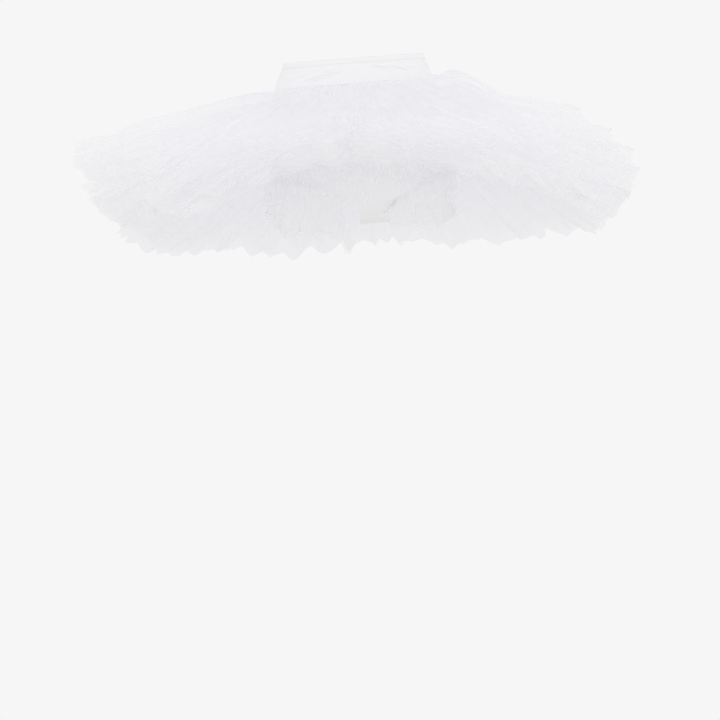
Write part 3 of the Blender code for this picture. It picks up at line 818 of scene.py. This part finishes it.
def knit_material(name, colour, rib):
    """Smooth stretch knit: fine wales with small loops across them, a satin face and a soft sheen."""
    material, tree = tree_of(name)
    place = add(tree, "ShaderNodeUVMap", uv_map="cloth").outputs["UV"]
    soft = add(tree, "ShaderNodeTexNoise", {"Vector": place, "Scale": 220.0, "Detail": 2.0}).outputs["Color"]
    shift = add(tree, "ShaderNodeVectorMath", {0: soft, 3: 0.00018}, operation="SCALE").outputs[0]
    place = add(tree, "ShaderNodeVectorMath", {0: place, 1: shift}, operation="ADD").outputs[0]
    split = add(tree, "ShaderNodeSeparateXYZ", {0: place})
    wale = maths(tree, "COSINE", maths(tree, "MULTIPLY", split.outputs["X"], 2 * math.pi / rib))
    course = maths(tree, "MULTIPLY", split.outputs["Y"], 2 * math.pi / (rib * 0.8))
    course = maths(tree, "ADD", course, maths(tree, "MULTIPLY", wale, 1.4))
    loop = maths(tree, "COSINE", course)
    height = maths(tree, "ADD", maths(tree, "MULTIPLY", wale, 0.6), maths(tree, "MULTIPLY", loop, 0.4))
    even = add(tree, "ShaderNodeMapRange", {"Value": height, "From Min": -1.0, "From Max": 1.0}).outputs["Result"]
    blotch = add(tree, "ShaderNodeTexNoise", {"Vector": place, "Scale": 26.0, "Detail": 3.0}).outputs["Fac"]
    mixed = maths(tree, "ADD", maths(tree, "MULTIPLY", even, 0.6), maths(tree, "MULTIPLY", blotch, 0.4))
    face = add(tree, "ShaderNodeMix", {"Factor": mixed, "A": (*[c * 0.965 for c in colour], 1), "B": (*colour, 1)},
               data_type="RGBA").outputs["Result"]
    rough = add(tree, "ShaderNodeMapRange", {"Value": mixed, "To Min": 0.60, "To Max": 0.44}).outputs["Result"]
    bump = add(tree, "ShaderNodeBump", {"Height": height, "Strength": 0.30, "Distance": 0.00012}).outputs["Normal"]
    cloth = add(tree, "ShaderNodeBsdfPrincipled", {"Base Color": face, "Roughness": rough, "Normal": bump,
                                                   "Specular IOR Level": 0.35, "Sheen Weight": 0.20, "Sheen Roughness": 0.4})
    out = add(tree, "ShaderNodeOutputMaterial")
    tree.links.new(cloth.outputs[0], out.inputs["Surface"])
    return material


def wear(piece, material):
    piece.data.materials.clear()
    piece.data.materials.append(material)


# ---------------------------------------------------------------- stage, light, camera
def build_stage():
    """A pale floor that curves up all round into a plain pale backdrop and closes overhead."""
    floor, radius, bend, top = -2.60, 9.0, 2.5, 7.0
    profile = [(0.0, floor), (2.0, floor), (4.0, floor), (radius - bend, floor)]
    profile += [(radius - bend + bend * math.sin(a), floor + bend - bend * math.cos(a))
                for a in np.radians(np.arange(10, 91, 10))]
    profile += [(radius, top - bend)]
    profile += [(radius - bend + bend * math.cos(a), top - bend + bend * math.sin(a))
                for a in np.radians(np.arange(10, 91, 10))]
    profile += [(2.0, top), (0.0, top)]
    sides = 96
    bm = bmesh.new()
    rings = []
    for r, z in profile:
        if r == 0.0:
            rings.append([bm.verts.new((0, 0, z))])
        else:
            rings.append([bm.verts.new((r * math.cos(2 * math.pi * k / sides), r * math.sin(2 * math.pi * k / sides), z))
                          for k in range(sides)])
    for low, high in zip(rings, rings[1:]):
        for k in range(sides):
            n = (k + 1) % sides
            if len(low) == 1:
                bm.faces.new((low[0], high[n], high[k]))
            elif len(high) == 1:
                bm.faces.new((low[k], low[n], high[0]))
            else:
                bm.faces.new((low[k], low[n], high[n], high[k]))
    mesh = bpy.data.meshes.new("stage")
    bm.to_mesh(mesh)
    bm.free()
    mesh.shade_smooth()
    stage = bpy.data.objects.new("stage", mesh)
    bpy.context.scene.collection.objects.link(stage)
    material, tree = tree_of("stage_paper")
    light = add(tree, "ShaderNodeEmission", {"Color": (BACKDROP, BACKDROP, BACKDROP, 1), "Strength": 1.0})
    out = add(tree, "ShaderNodeOutputMaterial")
    tree.links.new(light.outputs[0], out.inputs["Surface"])
    wear(stage, material)
    # The paper is only a background: the sky, above and below, lights the cloth.
    stage.visible_diffuse = stage.visible_glossy = stage.visible_transmission = False
    stage.visible_shadow = False


def area_light(name, place, aim, size, power, colour=(1, 1, 1)):
    data = bpy.data.lights.new(name, "AREA")
    data.shape, data.size, data.energy, data.color = "DISK", size, power, colour
    lamp = bpy.data.objects.new(name, data)
    bpy.context.scene.collection.objects.link(lamp)
    lamp.location = place
    lamp.rotation_euler = (Vector(aim) - Vector(place)).to_track_quat("-Z", "Y").to_euler()
    return lamp


def build_light():
    world = bpy.data.worlds.new("soft_sky")
    bpy.context.scene.world = world
    world.use_nodes = True
    tree = world.node_tree
    tree.nodes.clear()
    way = add(tree, "ShaderNodeTexCoord").outputs["Generated"]
    split = add(tree, "ShaderNodeSeparateXYZ", {0: way})
    # A wide soft light overhead, a wide one behind the photographer and pale paper below.
    level = maths(tree, "MULTIPLY_ADD", split.outputs["Z"], 0.120, 0.893)
    level = maths(tree, "MULTIPLY_ADD", split.outputs["Y"], -0.072, level)
    level = maths(tree, "MULTIPLY_ADD", split.outputs["X"], 0.012, level)
    sky = add(tree, "ShaderNodeBackground", {"Color": (1, 1, 1, 1), "Strength": level})
    out = add(tree, "ShaderNodeOutputWorld")
    tree.links.new(sky.outputs[0], out.inputs["Surface"])
    world.cycles.sampling_method = "NONE"


def build_camera():
    data = bpy.data.cameras.new("camera")
    data.lens, data.sensor_width, data.sensor_fit = 105.25, 36.0, "HORIZONTAL"
    data.clip_start, data.clip_end = 0.05, 60.0
    camera = bpy.data.objects.new("camera", data)
    bpy.context.scene.collection.objects.link(camera)
    camera.location = (0.0107, -3.5, -0.2323)
    camera.rotation_euler = (math.radians(90 - 4.3467), 0.0, 0.0)
    bpy.context.scene.camera = camera


# ---------------------------------------------------------------- put it together
def main():
    scene = bpy.context.scene
    scene.view_settings.view_transform = "Standard"
    scene.view_settings.look = "None"
    scene.view_settings.exposure, scene.view_settings.gamma = 0.0, 1.0
    scene.cycles.transparent_max_bounces = 96
    scene.cycles.max_bounces, scene.cycles.diffuse_bounces = 24, 16
    scene.cycles.transmission_bounces, scene.cycles.glossy_bounces = 16, 2
    scene.cycles.use_denoising = True
    build_camera()

    knit = knit_material("stretch_knit", KNIT_COLOUR, 0.0011)
    net = net_material("tier_net", NET_COLOUR, 0.0019, 0.05, 0.45)
    ruffle = net_material("ruffle_net", NET_COLOUR, 0.0019, 0.12, 0.42)
    sheer = net_material("sheer_net", SHEER_COLOUR, 0.0015, 0.14, 0.45)

    for name, first, last in (("yoke_back", 180.0, 360.0), ("yoke_front", 0.0, 180.0)):
        piece = build_yoke(name, first, last)
        wear(piece, knit)
        finish_piece(piece, name)
    for name, side in (("brief_back", -1), ("brief_front", 1)):
        piece = build_brief(name, side)
        wear(piece, knit)
        finish_piece(piece, name)
    for piece, name in build_tiers():
        wear(piece, net)
        finish_piece(piece, name)
    piece = build_seat_ruffle()
    wear(piece, ruffle)
    finish_piece(piece, "seat_ruffle")
    for name, side, seed in (("leg_ruffle_right", 1, 501), ("leg_ruffle_left", -1, 523)):
        piece = build_leg_ruffle(name, side, seed)
        wear(piece, sheer)
        finish_piece(piece, name)

    build_stage()
    build_light()


def finish_piece(piece, node):
    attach(piece, "root")
    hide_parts(node)


main()
